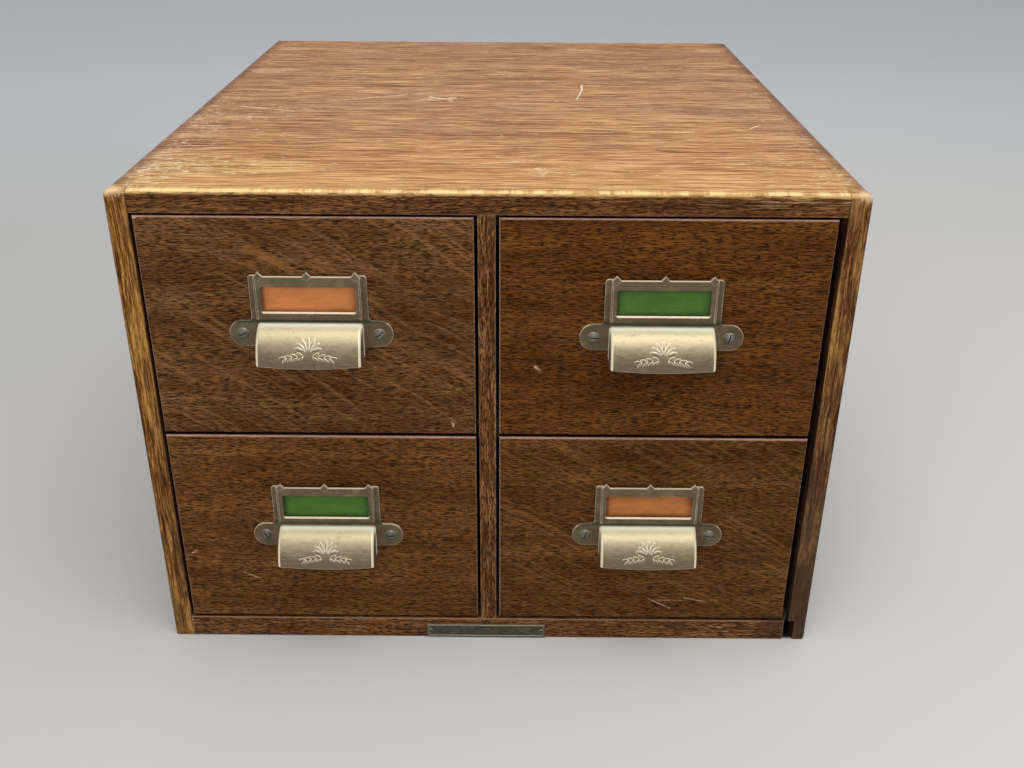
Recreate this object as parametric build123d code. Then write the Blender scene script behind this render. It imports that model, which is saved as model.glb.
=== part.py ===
from build123d import *
import math
import os

# A desktop card cabinet in oak: a finger-jointed case with four drawers, two over two.
# Built with y = 0 on the front plane and z = 0 on the table, then moved so that the
# origin is the centre of the case's underside. +Y runs to the back, +Z up.

# Case boards
case_width = 396.4
case_height = 289.3
case_depth = 450.0
side_thick = 11.5
top_thick = 12.3
base_thick = 14.5
back_thick = 9.5
divider_thick = 9.5
divider_offset = -0.65  # the divider was set a little left of centre
divider_tongue = 3.0  # how deep the divider is housed in the top and the base
rabbet_depth = 4.0  # how deep the base and back are let into the sides
rail_depth = 19.0  # the oak lipping on the front edge of the base
rail_short = 2.5  # the rail stops short of the right side
case_fingers = 23  # fingers along each top corner, the first and last on the side

# Worn outer edges of the case
corner_round = 4.0
front_top_round = 1.8
upright_round = 1.6
foot_round = 1.0

# Gaps round the drawer fronts
gap_left = 1.6
gap_right = 4.2
gap_divider = 1.8
gap_below = 1.7
gap_between = 2.1
gap_above = 1.6

# Runners and kickers
runner_width = 10.0
runner_height = 10.0
runner_chamfer = 2.0
runner_setback = 1.0  # behind the back of the drawer fronts
running_gap = 0.3
kicker_gap = 1.6

# Stops on the back board
stop_depth = 9.0
stop_width = 60.0
stop_height = 14.0
stop_lift = 20.0

# Drawer boards
front_thick = 17.0
front_round = 1.4
drawer_side_thick = 9.0
drawer_side_height = 78.0
rise_gap = 8.0  # from the high end of a side to what is above it
rise_flat = 14.0
drawer_back_thick = 9.0
drawer_fingers = 5
bottom_thick = 5.0
bottom_lift = 7.0  # from the lower edge of the side to the underside of the bottom
groove_depth = 4.0
front_groove = 6.0
tail_count = 4
tail_length = 12.0
tail_width = 15.0
tail_slope = 8.0

# Follower that holds the cards upright
follower_side_gap = 4.0
follower_drop = 8.0  # below the high ends of the drawer sides
follower_thick = 8.0
follower_lean = 12.0
follower_round = 9.0
foot_length = 52.0
foot_width = 46.0
foot_edge = 7.0
web_rise = 0.56  # share of the plate's height that the web behind it reaches
web_curve = 0.145  # depth of the web's hollow, as a share of its length
follower_rest_gap = 3.0
follower_travel = 290.0
stud_radius = 2.8
stud_clear = 0.3
stud_head_radius = 7.0
stud_head_thick = 2.0
stud_depth = 14.0

# Pull with its label frame, measured from the line of its two screws
pull_height = 62.5  # above the lower edge of the drawer front
screw_span = 74.0
ear_radius = 7.6
plate_thick = 1.2
neck_round = 2.2  # where an ear runs into the side of the frame
frame_width = 63.2
frame_top = 33.6
flange_width = 3.2
frame_bottom = 8.8
frame_front = 3.2
frame_round = 0.5
flange_round = 1.6
ridge_width = 1.0
ridge_rise = 0.35
window_width = 50.2
window_height = 14.6
window_bottom = 13.2
window_round = 1.0
window_bevel = 0.6
finial_offset = 25.8
finial_height = 2.6
finial_width = 4.8
finial_rise = 0.4
hood_width = 57.0
hood_top = 6.4
hood_reach = 17.5
hood_lip = -13.8
hood_lip_bow = 1.5
hood_wall = 1.2
hood_round = 2.0
label_margin = 1.8
label_thick = 0.6
label_height = 19.0
label_side_clear = 0.4

# Round-head screws, one slot angle for each screw of each pull, left then right
screw_head_radius = 3.15
screw_head_height = 2.0
screw_radius = 1.6
screw_hole_clear = 0.3
pilot_clear = 0.03
screw_length = 13.0
slot_width = 0.9
slot_depth = 1.0
slot_angles = {"ul": (20, 40), "ur": (0, 78), "ll": (-52, 0), "lr": (65, -3)}
pull_shift = {"ul": 0.4, "ur": -0.6, "ll": -0.6, "lr": 0.8}  # fitted by hand

# Nameplate and small nails
plate_left = -39.3
plate_length = 73.9
plate_bottom = 0.9
plate_height = 9.7
nameplate_thick = 0.8
pin_inset = 2.2
pin_radius = 0.9
pin_length = 6.0
pin_head = 0.5
brad_width = 2.0
brad_head = 3.2
brad_rise = 0.4
brad_length = 14.0
brad_inset = 1.9
brads_across = 2
brads_up = 2

# Sizes that follow from the ones above
half_width = case_width / 2
inner_half = half_width - side_thick
top_under = case_height - top_thick
back_face = case_depth - back_thick
divider_left = divider_offset - divider_thick / 2
divider_right = divider_offset + divider_thick / 2
front_height = (top_under - base_thick - gap_below - gap_between - gap_above) / 2
pitch = front_height + gap_between
runner_top = base_thick + pitch
runner_under = runner_top - runner_height
bay_clear = runner_under - base_thick  # from what a drawer runs on to what keeps it down
kicker_height = top_under - runner_top - bay_clear
drawer_length = back_face - stop_depth - running_gap
drawer_back_height = bay_clear - running_gap - kicker_gap
drawer_rise = bay_clear - running_gap - rise_gap
front_lift = gap_below - running_gap  # the front starts this much above the sides' lower edges
bottom_top = bottom_lift + bottom_thick
follower_height = drawer_rise - bottom_top - follower_drop
follower_foot = drawer_length - drawer_back_thick - follower_rest_gap - foot_length
hole_radius = screw_radius + screw_hole_clear
raised_half = frame_width / 2 - flange_width

bays = {
    "left": (-inner_half, divider_left, gap_left, gap_divider),
    "right": (divider_right, inner_half, gap_divider, gap_right),
}
drawers = {
    "ul": ("left", runner_top),
    "ur": ("right", runner_top),
    "ll": ("left", base_thick),
    "lr": ("right", base_thick),
}


def board(x, y, z):
    """A square-cut board between two limits on each axis."""
    size = (x[1] - x[0], y[1] - y[0], z[1] - z[0])
    middle = ((x[0] + x[1]) / 2, (y[0] + y[1]) / 2, (z[0] + z[1]) / 2)
    return Pos(*middle) * Box(*size)


def zones(start, length, count, first):
    """Every second finger of a joint, from finger number first."""
    step = length / count
    return [(start + i * step, start + (i + 1) * step) for i in range(first, count, 2)]


def write(name, solids):
    """Save one piece, or one group of equal pieces, in the object's own frame."""
    shift = Pos(0, -case_depth / 2, 0)
    moved = [shift * s for s in solids]
    shape = moved[0] if len(moved) == 1 else Compound(children=moved)
    shape.label = name
    export_step(shape, os.path.join("parts", name + ".step"))


def one(shape):
    """The single solid of a shape."""
    found = shape.solids()
    assert len(found) == 1, "a piece came apart"
    return found[0]


def worn_form():
    """The outside of the case with its handled edges rounded."""
    form = board((-half_width, half_width), (0, case_depth), (0, case_height))
    long_edges = form.edges().filter_by(Axis.Y)
    form = fillet(long_edges.group_by(Axis.Z)[-1], corner_round)
    front = form.edges().group_by(Axis.Y)[0]
    form = fillet(front.sort_by(Axis.Z)[-1], front_top_round)
    corners = form.edges().filter_by(Axis.Z)
    form = fillet(corners, upright_round)
    return fillet(form.edges().group_by(Axis.Z)[0], foot_round)


def divider():
    """Upright board between the bays, tongued into the top and the base behind the rail."""
    body = board((divider_left, divider_right), (0, back_face), (base_thick, top_under))
    low = base_thick - divider_tongue
    high = top_under + divider_tongue
    tongue = board((divider_left, divider_right), (rail_depth, back_face), (low, high))
    return body + tongue


def back_board():
    """Back, let into the sides and the top."""
    side = inner_half + rabbet_depth
    return board((-side, side), (back_face, case_depth), (0, top_under + rabbet_depth))


def base_board():
    """Base behind the front rail, let into the sides."""
    side = inner_half + rabbet_depth
    return board((-side, side), (rail_depth, back_face), (0, base_thick))


def top_board(form):
    """Top with a row of fingers at each end."""
    body = board((-half_width, half_width), (0, case_depth), (top_under, case_height))
    gone = []
    for y in zones(0, case_depth, case_fingers, 0):
        gone.append(board((-half_width, -inner_half), y, (top_under, case_height)))
        gone.append(board((inner_half, half_width), y, (top_under, case_height)))
    return one((body - gone - divider() - back_board()) & form)


def side_board(hand, form):
    """Side with its fingers through the top. hand is -1 at the left and 1 at the right."""
    x = sorted((hand * inner_half, hand * half_width))
    body = board(x, (0, case_depth), (0, case_height))
    gone = [board(x, y, (top_under, case_height)) for y in zones(0, case_depth, case_fingers, 1)]
    body = body - gone - base_board() - back_board()
    if hand > 0:
        # the housing for the base runs out through the front edge
        body -= board((inner_half, inner_half + rabbet_depth), (0, rail_depth), (0, base_thick))
    return one(body & form)


def runner(face, hand, low, high):
    """Strip along a bay's wall, its free front corner eased. hand points into the bay."""
    start = front_thick + runner_setback
    edge = face + hand * runner_width
    outline = Polyline(
        (face, start),
        (edge - hand * runner_chamfer, start),
        (edge, start + runner_chamfer),
        (edge, back_face),
        (face, back_face),
        close=True,
    )
    return one(extrude(Plane.XY.offset(low) * make_face(outline), high - low, dir=(0, 0, 1)))


def drawer_span(name):
    """Where the ends of a drawer's front stand."""
    left, right, clear_left, clear_right = bays[drawers[name][0]]
    return left + clear_left, right - clear_right


def drawer_place(name):
    """From a drawer's own origin, mid-front on its sides' lower edges, to its bay."""
    left, right = drawer_span(name)
    return Pos((left + right) / 2, 0, drawers[name][1] + running_gap)


def tails(outer, hand):
    """Dovetails of one drawer side, seen on the end of the front."""
    step = (drawer_rise - front_lift) / tail_count
    flare = tail_length * math.tan(math.radians(tail_slope))
    tip = front_thick - tail_length
    out = []
    for i in range(tail_count):
        mid = front_lift + (i + 0.5) * step
        narrow = tail_width / 2
        outline = Polyline(
            (front_thick, mid - narrow),
            (front_thick, mid + narrow),
            (tip, mid + narrow + flare),
            (tip, mid - narrow - flare),
            close=True,
        )
        start = outer if hand < 0 else outer - drawer_side_thick
        face = Plane.YZ.offset(start) * make_face(outline)
        out.append(extrude(face, drawer_side_thick, dir=(1, 0, 0)))
    return out


def drawer_bottom_board(half):
    """Thin bottom, held in grooves on three sides."""
    side = half - drawer_side_thick + groove_depth
    y = (front_thick - front_groove, drawer_length)
    return board((-side, side), y, (bottom_lift, bottom_top))


def drawer_bottom(half):
    """Bottom with the long slot that the follower's stud runs in."""
    stud = follower_foot + foot_length / 2
    reach = stud_radius + stud_clear
    middle = stud - follower_travel / 2
    slot = SlotCenterToCenter(follower_travel, 2 * reach)
    cut = extrude(Pos(0, middle, bottom_lift) * Rot(0, 0, 90) * slot, bottom_thick)
    return one(drawer_bottom_board(half) - cut)


def drawer_side(half, hand):
    """Low side that sweeps up to the front in two quarter rounds."""
    radius = (drawer_rise - drawer_side_height) / 2
    start = front_thick + rise_flat + 2 * radius
    level = drawer_side_height
    rise = JernArc((start, level), (-1, 0), radius, -90)
    crest = JernArc(rise @ 1, (0, 1), radius, 90)
    low = Polyline((front_thick, 0), (drawer_length, 0), (drawer_length, level), (start, level))
    close = Polyline(crest @ 1, (front_thick, drawer_rise), (front_thick, 0))
    outer = hand * half
    begin = outer if hand < 0 else outer - drawer_side_thick
    face = Plane.YZ.offset(begin) * make_face([low, rise, crest, close])
    body = extrude(face, drawer_side_thick, dir=(1, 0, 0)) + tails(outer, hand)
    x = (begin, begin + drawer_side_thick)
    y = (drawer_length - drawer_back_thick, drawer_length)
    gone = [board(x, y, z) for z in zones(0, level, drawer_fingers, 1)]
    return one(body - gone - drawer_bottom_board(half))


def drawer_back(half):
    """Back that stands over the bottom and rises to just under the kickers."""
    y = (drawer_length - drawer_back_thick, drawer_length)
    body = board((-half, half), y, (bottom_top, drawer_back_height))
    inside = half - drawer_side_thick
    gone = []
    for z in zones(0, drawer_side_height, drawer_fingers, 0):
        gone.append(board((-half, -inside), y, z))
        gone.append(board((inside, half), y, z))
    return one(body - gone)


def drawer_front(half, screw_line):
    """Oak front, rounded at its face, with dovetail sockets, groove and screw holes."""
    z = (front_lift, front_lift + front_height)
    body = board((-half, half), (0, front_thick), z)
    body = fillet(body.edges().group_by(Axis.Y)[0], front_round)
    body = body - tails(-half, -1) - tails(half, 1) - drawer_bottom_board(half)
    for hand in (-1, 1):
        depth = screw_length - plate_thick
        hole = Cylinder(screw_radius + pilot_clear, 2 * depth, rotation=(90, 0, 0))
        body -= Pos(hand * screw_span / 2, 0, screw_line) * hole
    return one(body)


def upright(sketch, near, far):
    """A sketch drawn in x and z, made solid from y = -near to y = -far."""
    face = Plane.XZ.offset(near) * sketch
    return extrude(face, far - near, dir=(0, -1, 0))


def rectangle(half, low, high):
    """A rectangle centred on x, between two heights."""
    return Pos(0, (low + high) / 2) * Rectangle(2 * half, high - low)


def pull_outline():
    """The flat sheet of the pull: a strip with a rounded ear at each end, and the frame's flanges."""
    shape = SlotCenterToCenter(screw_span, 2 * ear_radius) + rectangle(frame_width / 2, 0, frame_top)
    necks = [
        v
        for v in shape.vertices()
        if abs(v.Y - ear_radius) < frame_round and abs(v.X) < (frame_width + screw_span) / 4
    ]
    shape = fillet(necks, neck_round)
    return fillet(shape.vertices().group_by(Axis.Y)[-1], flange_round)


def frame_trim():
    """Three small diamonds along the top of the label frame, and a ridge down each end."""
    out = []
    for x in (-finial_offset, 0, finial_offset):
        diamond = Polyline(
            (x - finial_width / 2, frame_top),
            (x, frame_top + finial_height),
            (x + finial_width / 2, frame_top),
            (x, frame_top - finial_height),
            close=True,
        )
        out.append(upright(make_face(diamond), frame_front - plate_thick, frame_front + finial_rise))
    for hand in (-1, 1):
        middle = hand * (raised_half - ridge_width / 2)
        low = frame_bottom + frame_round
        ridge = Pos(middle, 0) * rectangle(ridge_width / 2, low, frame_top - frame_round)
        out.append(upright(ridge, frame_front - plate_thick, frame_front + ridge_rise))
    return out


def hood_body(inset):
    """A cupped quarter oval across the pull, drawn in by the given wall."""
    reach = hood_reach - inset
    rise = hood_top - inset
    low = hood_lip - hood_lip_bow
    back = plate_thick if inset == 0 else 0
    curve = EllipticalCenterArc((-back, low), reach - back, rise - low, 90, arc_size=90)
    sides = Polyline(curve @ 0, (0, rise), (0, low), curve @ 1)
    half = hood_width / 2 - inset
    body = extrude(Plane.YZ.offset(-half) * make_face([curve, sides]), 2 * half, dir=(1, 0, 0))
    ends = [e for e in body.edges().filter_by(GeomType.ELLIPSE)]
    return fillet(ends, hood_round - inset)


def hood_trim():
    """What lies under the hood's slightly bowed lip."""
    half = hood_width / 2 + 1
    end = hood_lip + hood_lip_bow
    deep = hood_lip - 3 * hood_lip_bow
    bow = ThreePointArc((-half, end), (0, hood_lip), (half, end))
    rest = Polyline((half, end), (half, deep), (-half, deep), (-half, end))
    return upright(make_face([bow, rest]), -1, hood_reach + 2)


def pull():
    """Stamped pull: hood, ears and label frame in one piece, open behind and below."""
    raised = upright(rectangle(raised_half, frame_bottom, frame_top), 0, frame_front)
    raised = fillet(raised.edges().group_by(Axis.Y)[0], frame_round)
    body = upright(pull_outline(), 0, plate_thick) + raised + frame_trim() + hood_body(0)
    pocket_half = raised_half - plate_thick
    pocket = rectangle(pocket_half, window_bottom - label_margin, frame_top + 1)
    body -= upright(pocket, -1, frame_front - plate_thick)
    window = RectangleRounded(window_width, window_height, window_round)
    window = Pos(0, window_bottom + window_height / 2) * window
    body -= upright(window, -1, frame_front + 1)
    mouth = Plane.XZ.offset(frame_front - window_bevel) * window
    body -= extrude(mouth, window_bevel, dir=(0, -1, 0), taper=-45)
    body = body - hood_body(hood_wall) - hood_trim()
    for hand in (-1, 1):
        hole = Pos(hand * screw_span / 2, 0) * Circle(hole_radius)
        body -= upright(hole, -1, plate_thick + 1)
    return one(body)


def label():
    """Card in the frame, lying on the wood."""
    half = raised_half - plate_thick - label_side_clear
    low = window_bottom - label_margin
    return one(upright(rectangle(half, low, low + label_height), 0, label_thick))


def pull_screw(angle):
    """Slotted round-head screw, its head on the ear."""
    rise = screw_head_height
    radius = (screw_head_radius**2 + rise**2) / (2 * rise)
    lean = math.radians(45)
    half_way = math.asin(screw_head_radius / radius) * math.sin(lean)
    mid = (radius * math.sin(half_way), rise - radius * (1 - math.cos(half_way)))
    dome = ThreePointArc((0, rise), mid, (screw_head_radius, 0))
    deep = -screw_length
    shank = Polyline(
        (screw_head_radius, 0),
        (screw_radius, 0),
        (screw_radius, deep),
        (0, deep),
        (0, rise),
    )
    body = revolve(Plane.XZ * make_face([dome, shank]), Axis.Z)
    slot = Pos(0, 0, rise - slot_depth / 2) * Box(3 * screw_head_radius, slot_width, slot_depth)
    body = body - Rot(0, 0, angle) * slot
    return Pos(0, -plate_thick, 0) * Rot(90, 0, 0) * one(body)


def follower(half_drawer):
    """Leaning plate on a foot, with a hole for its stud."""
    lean = follower_height * math.tan(math.radians(follower_lean))
    back = follower_thick / math.cos(math.radians(follower_lean))
    top = follower_height
    plate = Polyline((0, 0), (back, 0), (lean + back, top), (lean, top), close=True)
    half = half_drawer - drawer_side_thick - follower_side_gap
    body = extrude(Plane.YZ.offset(-half) * make_face(plate), 2 * half, dir=(1, 0, 0))
    corners = body.edges().group_by(Axis.Z)[-1].sort_by(Axis.X)
    body = fillet([corners[0], corners[-1]], follower_round)
    toe = Vector(foot_length, foot_edge)
    crest = Vector(lean * web_rise + back * 0.9, top * web_rise)
    curve = SagittaArc(toe, crest, -web_curve * (crest - toe).length)
    rest = Polyline(crest, (back / 2, 0), (foot_length, 0), toe)
    start = Plane.YZ.offset(-foot_width / 2)
    body += extrude(start * make_face([curve, rest]), foot_width, dir=(1, 0, 0))
    hole = Cylinder(stud_radius + pilot_clear, 2 * stud_depth)
    return one(body - Pos(0, foot_length / 2, 0) * hole)


def stud():
    """Brass stud: its head runs under the bottom, its shank is screwed into the foot."""
    low = -bottom_thick - stud_clear
    outline = Polyline(
        (0, low - stud_head_thick),
        (stud_head_radius, low - stud_head_thick),
        (stud_head_radius, low),
        (stud_radius, low),
        (stud_radius, stud_depth - 1),
        (0, stud_depth - 1),
        close=True,
    )
    return one(revolve(Plane.XZ * make_face(outline), Axis.Z))


def nail(radius, length, rise):
    """Small nail whose low bevelled head lies on z = 0."""
    outline = Polyline(
        (0, rise),
        (radius, rise),
        (radius * 1.6, 0),
        (radius, 0),
        (radius, -length),
        (0, -length),
        close=True,
    )
    return revolve(Plane.XZ * make_face(outline), Axis.Z)


def build_drawer(name):
    """All pieces of one drawer, in its bay."""
    left, right = drawer_span(name)
    half = (right - left) / 2
    place = drawer_place(name)
    screw_line = front_lift + pull_height + pull_shift[name]
    write(name + "_front", [place * drawer_front(half, screw_line)])
    write(name + "_side_left", [place * drawer_side(half, -1)])
    write(name + "_side_right", [place * drawer_side(half, 1)])
    write(name + "_back", [place * drawer_back(half)])
    write(name + "_bottom", [place * drawer_bottom(half)])
    on_front = place * Pos(0, 0, screw_line)
    write(name + "_pull", [on_front * pull()])
    write(name + "_label_card", [on_front * label()])
    screws = []
    for hand, angle in zip((-1, 1), slot_angles[name]):
        screws.append(on_front * Pos(hand * screw_span / 2, 0, 0) * pull_screw(angle))
    write(name + "_pull_screws", screws)
    at_foot = place * Pos(0, follower_foot, bottom_top)
    write(name + "_follower", [at_foot * follower(half)])
    write(name + "_follower_stud", [at_foot * Pos(0, foot_length / 2, 0) * stud()])


def build_case():
    """The fixed boards, strips, plate, pins and the cut brads that hold the back."""
    form = worn_form()
    rail_end = inner_half - rail_short
    rail = board((-inner_half, rail_end), (0, rail_depth), (0, base_thick))
    pin_holes = []
    pins = []
    pin_z = plate_bottom + plate_height / 2
    for x in (plate_left + pin_inset, plate_left + plate_length - pin_inset):
        hole = Cylinder(pin_radius + pilot_clear, 2 * pin_length, rotation=(90, 0, 0))
        pin_holes.append(Pos(x, 0, pin_z) * hole)
        pin = Pos(x, -nameplate_thick, pin_z) * Rot(90, 0, 0) * nail(pin_radius, pin_length, pin_head)
        pins.append(one(pin))
    plate = board(
        (plate_left, plate_left + plate_length),
        (-nameplate_thick, 0),
        (plate_bottom, plate_bottom + plate_height),
    )
    write("nameplate", [one(plate - pin_holes)])
    write("nameplate_pins", pins)
    write("bottom_rail", [one((rail - pin_holes) & form)])

    brad_holes = []
    brads = []
    side_x = inner_half + rabbet_depth - brad_inset
    top_z = top_under + rabbet_depth - brad_inset
    spots = []
    for i in range(brads_up):
        z = base_thick + (i + 0.5) * (top_under - base_thick) / brads_up
        spots += [(-side_x, z), (side_x, z)]
    for i in range(brads_across):
        x = -inner_half + (i + 0.5) * 2 * inner_half / brads_across
        spots += [(x, top_z), (x, base_thick / 2)]
    for x, z in spots:
        at = Pos(x, case_depth, z)
        shank = board((-brad_width / 2, brad_width / 2), (-brad_length, 0), (-brad_width / 2, brad_width / 2))
        head = board((-brad_head / 2, brad_head / 2), (0, brad_rise), (-brad_head / 2, brad_head / 2))
        brad_holes.append(at * shank)
        brads.append(one(at * (shank + head)))
    write("back_brads", brads)
    write("back_panel", [one((back_board() - brad_holes) & form)])
    write("left_side", [one(side_board(-1, form) - brad_holes)])
    write("right_side", [one(side_board(1, form) - brad_holes)])
    write("top_panel", [one(top_board(form) - brad_holes)])
    write("bottom_panel", [one((base_board() - divider() - brad_holes) & form)])
    write("centre_divider", [one(divider() - brad_holes)])

    for bay, (left, right, _, _) in bays.items():
        for wall, face, hand in (("left", left, 1), ("right", right, -1)):
            high = top_under
            write(f"runner_{bay}_{wall}", [runner(face, hand, runner_under, runner_top)])
            write(f"kicker_{bay}_{wall}", [runner(face, hand, high - kicker_height, high)])

    stops = []
    for name in drawers:
        left, right = drawer_span(name)
        middle = (left + right) / 2
        low = drawers[name][1] + stop_lift
        x = (middle - stop_width / 2, middle + stop_width / 2)
        stops.append(board(x, (back_face - stop_depth, back_face), (low, low + stop_height)))
    write("drawer_stops", [one(s) for s in stops])


os.makedirs("parts", exist_ok=True)
build_case()
for drawer_name in drawers:
    build_drawer(drawer_name)
print("front height", round(front_height, 2), "bay", round(bay_clear, 2), "kicker", round(kicker_height, 2))
print("drawer length", round(drawer_length, 2), "drawer back", round(drawer_back_height, 2))
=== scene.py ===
# %% [markdown]
# # An oak card cabinet
# This is a desktop cabinet for index cards: four drawers in a finger-jointed oak case,
# each with a hooded metal pull. The CAD model already holds every board, screw and plate
# at its real size, so this file only dresses them: it gives each board its own oak and
# each pull its worn bronze, and it adds shallow leaves on the hoods and a border round
# the nameplate. Units are metres, but materials and ornaments are laid out in millimetres.

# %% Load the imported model
import math
import bpy
import bmesh
from mathutils import Matrix, Vector


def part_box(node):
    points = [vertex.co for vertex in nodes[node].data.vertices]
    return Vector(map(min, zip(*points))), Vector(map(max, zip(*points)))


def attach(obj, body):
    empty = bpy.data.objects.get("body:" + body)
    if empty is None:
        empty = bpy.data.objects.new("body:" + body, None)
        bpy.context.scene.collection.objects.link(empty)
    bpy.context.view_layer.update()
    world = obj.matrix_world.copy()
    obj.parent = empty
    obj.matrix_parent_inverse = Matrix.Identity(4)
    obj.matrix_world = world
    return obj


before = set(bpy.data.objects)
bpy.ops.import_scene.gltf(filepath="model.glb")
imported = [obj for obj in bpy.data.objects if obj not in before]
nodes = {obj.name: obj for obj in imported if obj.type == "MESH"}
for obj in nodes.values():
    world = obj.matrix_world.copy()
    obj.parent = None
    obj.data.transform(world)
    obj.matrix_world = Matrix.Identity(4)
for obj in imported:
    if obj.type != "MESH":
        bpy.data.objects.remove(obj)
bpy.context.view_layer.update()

# %% [markdown]
# The photograph was taken from a little right of the middle, looking down at 27 degrees
# from 0.54 m in front of the drawers. A camera can be moved by eye until the picture
# fits, but lens, height and tilt are easily traded for one another that way. Here the
# place was worked out from the corners of the case, so it is set as numbers.

# %% Camera
MM = 0.001
side_low, side_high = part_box("right_side")
HALF_DEPTH = round(-side_low.y, 5)
YAW, PITCH, ROLL = -0.00319, 0.46845, 0.00587
EYE = (0.01482, -0.54166 - HALF_DEPTH, 0.45339)
FOCAL_MM, SENSOR_MM = 38.27, 36
ahead = Vector((math.sin(YAW) * math.cos(PITCH), math.cos(YAW) * math.cos(PITCH), -math.sin(PITCH)))
level = Vector((math.cos(YAW), -math.sin(YAW), 0))
upward = level.cross(ahead)
right = math.cos(ROLL) * level + math.sin(ROLL) * upward
top = -math.sin(ROLL) * level + math.cos(ROLL) * upward
lens = bpy.data.cameras.new("camera")
lens.lens = FOCAL_MM
lens.sensor_width = SENSOR_MM
camera = bpy.data.objects.new("camera", lens)
turn = Matrix((right, top, -ahead)).transposed().to_4x4()
camera.matrix_world = Matrix.Translation(EYE) @ turn
bpy.context.scene.collection.objects.link(camera)
bpy.context.scene.camera = camera
bpy.context.scene.view_settings.view_transform = "Standard"
print("camera", [round(v, 3) for v in camera.location])

# %% [markdown]
# The cabinet stands in soft light that falls mostly on its top. A picture of a sky could
# light it, but this file reads no pictures. So a pale world gives the even part, one
# large panel overhead makes the top brighter than the fronts, and a weaker panel stands
# in front. Large panels give soft shadows. The front one isn't mirrored in the metal,
# where it would show as a pale square.

# %% Light
SKY, SKY_STRENGTH = (0.93, 0.96, 1.0, 1), 0.5
world = bpy.data.worlds.new("studio")
world.use_nodes = True
sky = world.node_tree.nodes["Background"].inputs
sky["Color"].default_value = SKY
sky["Strength"].default_value = SKY_STRENGTH
bpy.context.scene.world = world


def panel(name, place, aim, size, watts, colour, mirrored=True):
    """One square soft light, turned to face a point. Its own reflection can be left out."""
    data = bpy.data.lights.new(name, "AREA")
    data.size = size
    data.energy = watts
    data.color = colour
    lamp = bpy.data.objects.new(name, data)
    lamp.location = place
    lamp.rotation_euler = (Vector(aim) - Vector(place)).to_track_quat("-Z", "Y").to_euler()
    lamp.visible_glossy = mirrored
    bpy.context.scene.collection.objects.link(lamp)
    print("light", name, watts, "W")


panel("overhead", (0.2, -0.6, 1.75), (0, 0, 0.1), 1.5, 21, (1, 0.98, 0.95))
panel("front_fill", (-0.7, -2.0, 0.9), (0, -0.2, 0.1), 1.3, 14, (1, 0.98, 0.96), mirrored=False)

# %% [markdown]
# A finish is a graph of shader nodes. Such a graph can be drawn by hand in the editor, or
# wired with one long call for each node, but then the idea is hard to read. Here `Wire`
# stands for one output of a node, and Python's own operators on it add the Math nodes, so
# a mask reads like a formula.

# %% A small language for materials: sums
class Wire:
    """An output of a node, which can be used in sums."""

    def __init__(self, recipe, socket):
        self.recipe = recipe
        self.socket = socket

    def sum(self, operation, *others):
        return self.recipe.sum(operation, self, *others)

    def __add__(self, other):
        return self.sum("ADD", other)

    def __radd__(self, other):
        return self.recipe.sum("ADD", other, self)

    def __sub__(self, other):
        return self.sum("SUBTRACT", other)

    def __rsub__(self, other):
        return self.recipe.sum("SUBTRACT", other, self)

    def __mul__(self, other):
        return self.sum("MULTIPLY", other)

    def __truediv__(self, other):
        return self.sum("DIVIDE", other)

    def __pow__(self, other):
        return self.sum("POWER", other)

    def __abs__(self):
        return self.sum("ABSOLUTE")

    def most(self, other):
        return self.sum("MAXIMUM", other)

    def least(self, other):
        return self.sum("MINIMUM", other)

    def step(self, low, high):
        """0 below low, 1 above high, and a soft rise between them."""
        settings = {"interpolation_type": "SMOOTHSTEP"}
        return self.recipe.add("ShaderNodeMapRange", settings, {0: self, 1: low, 2: high, 3: 0, 4: 1})


print("sums ready")

# %% [markdown]
# `Recipe` makes a material. A finisher works from the ground colour up, so `paint` lays
# one more colour over what is there, through a mask. All nodes are made by the one method
# `add`. A recipe also carries the place, roughness and masks that its later steps share,
# as `here`, `xyz`, `rough`, `height`, `rub` and so on.

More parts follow.
